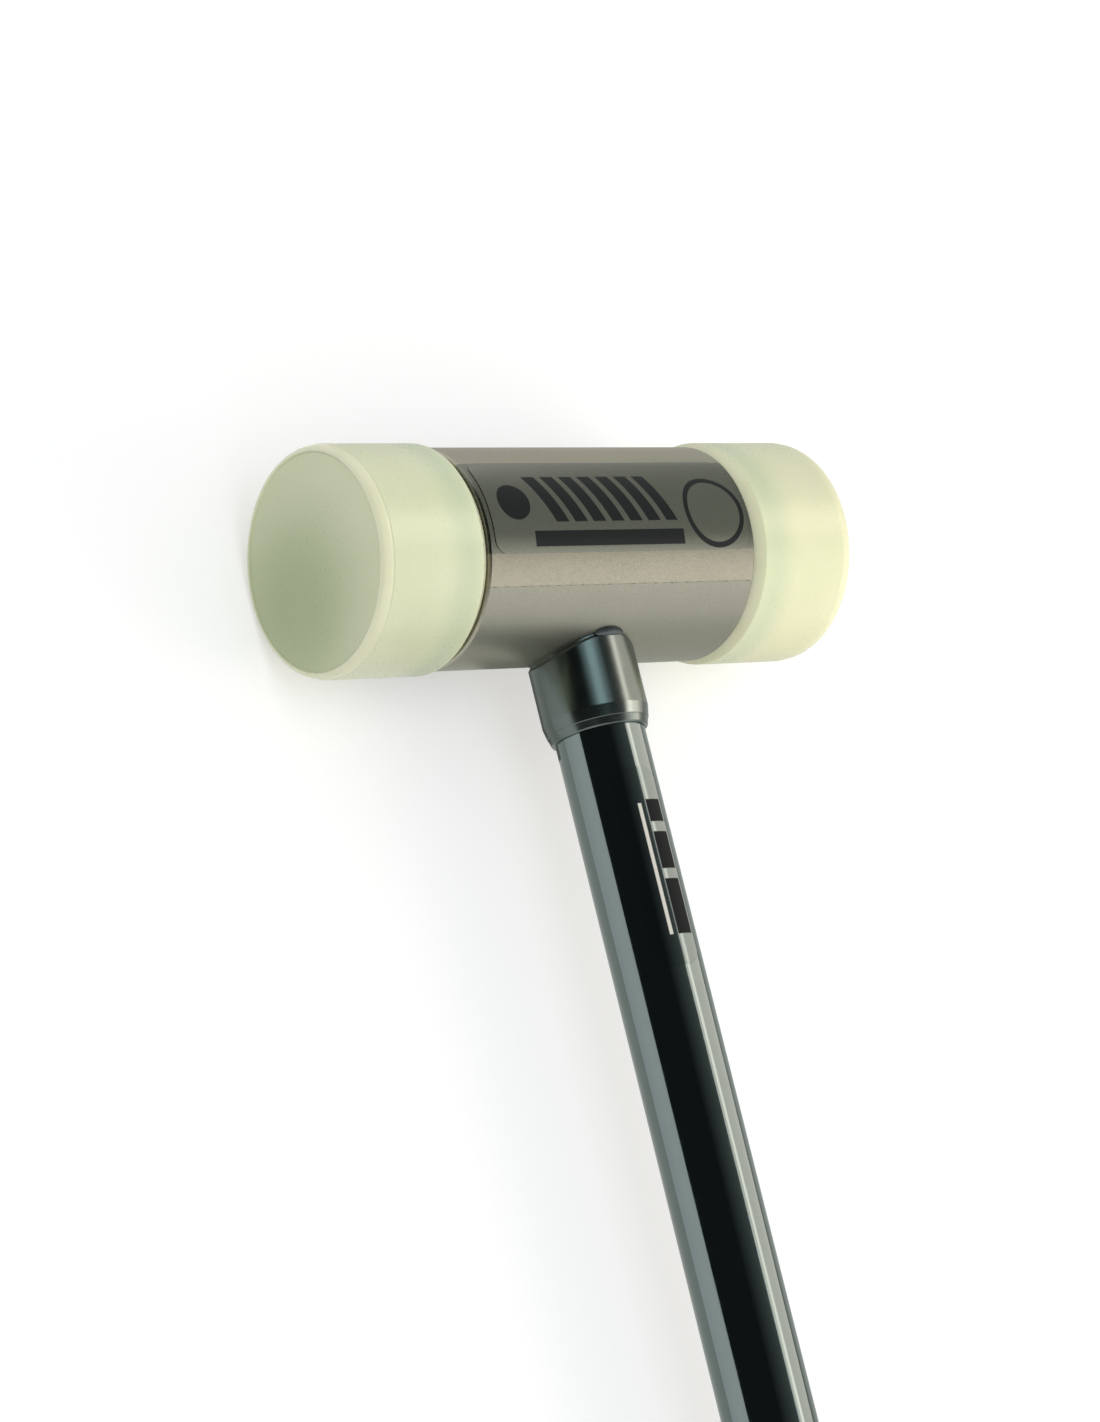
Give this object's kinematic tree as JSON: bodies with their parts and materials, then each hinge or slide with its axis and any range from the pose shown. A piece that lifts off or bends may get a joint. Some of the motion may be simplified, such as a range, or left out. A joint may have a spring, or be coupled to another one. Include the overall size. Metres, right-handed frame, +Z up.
{
  "type": "soft face hammer",
  "caption": "Soft face hammer with a plated steel tube head holding loose shot, pull-out nylon faces, and a chromed tube handle with crimped collar and ribbed grip.",
  "frame": {"origin": "centre of the hammer's outline on the surface it lies on", "axes": "+X along the head toward the right face, +Y from the handle toward the head, +Z up from the surface; the hammer lies on its faces and the knob of its grip"},
  "size_m": [0.0924, 0.2996, 0.035],
  "materials": {
    "head_plating": "semi-gloss grey-beige plating",
    "nylon": "satin, slightly translucent pale nylon",
    "bare_steel": "bare steel",
    "collar_plating": "satin dark nickel plating",
    "weld_metal": "plated weld bead",
    "handle_chrome": "polished chrome plating",
    "grip_rubber": "matt black moulded rubber",
    "plug_plastic": "black plastic",
    "label_film": "clear film with plain dark print"
  },
  "bodies": {
    "hammer": {"head_tube": "head_plating", "left_bulkhead": "bare_steel", "right_bulkhead": "bare_steel", "collar": "collar_plating", "collar_welds": "weld_metal", "handle_tube": "handle_chrome", "grip": "grip_rubber", "tube_end_plug": "plug_plastic", "head_label": "label_film", "handle_label": "label_film"},
    "left_face": {"left_face": "nylon"},
    "right_face": {"right_face": "nylon"},
    "shot": {"steel_shot": "bare_steel"}
  },
  "joints": [
    {"name": "left_face_pull", "type": "slide", "parent": "hammer", "child": "left_face", "axis": [-1, 0, 0], "range_m": [0, 0.014]},
    {"name": "right_face_pull", "type": "slide", "parent": "hammer", "child": "right_face", "axis": [1, 0, 0], "range_m": [0, 0.014]},
    {"name": "shot_run", "type": "slide", "parent": "hammer", "child": "shot", "axis": [1, 0, 0], "range_m": [-0.0042, 0.0042]}
  ]
}
